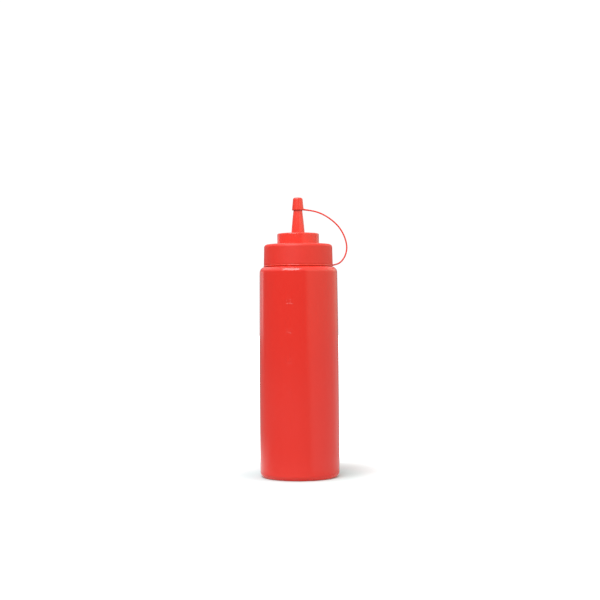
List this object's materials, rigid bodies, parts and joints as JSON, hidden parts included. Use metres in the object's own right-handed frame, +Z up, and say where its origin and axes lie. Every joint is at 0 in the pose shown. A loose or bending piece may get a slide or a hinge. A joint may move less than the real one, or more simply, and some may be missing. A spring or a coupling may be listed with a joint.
{
  "type": "squeeze bottle",
  "caption": "Tall round squeeze bottle with a stepped screw cap, a tapered nozzle, and a tip cap tethered by a thin bowed strap to a ring under the cap.",
  "frame": {"origin": "centre of the flat base, on the bottle's axis", "axes": "+Z up along the bottle's axis, +X towards the bow of the strap, -Y towards the side that carries the moulded marks"},
  "size_m": [0.0811, 0.0722, 0.254],
  "materials": {
    "body_plastic": "satin red polyethylene",
    "cap_plastic": "satin red polyethylene, slightly brighter than the body",
    "tip_plastic": "satin red polyethylene, slightly brighter than the body"
  },
  "bodies": {
    "root": {"bottle_body": "body_plastic", "screw_cap": "cap_plastic", "tip_cap_strap": "tip_plastic"}
  },
  "joints": []
}
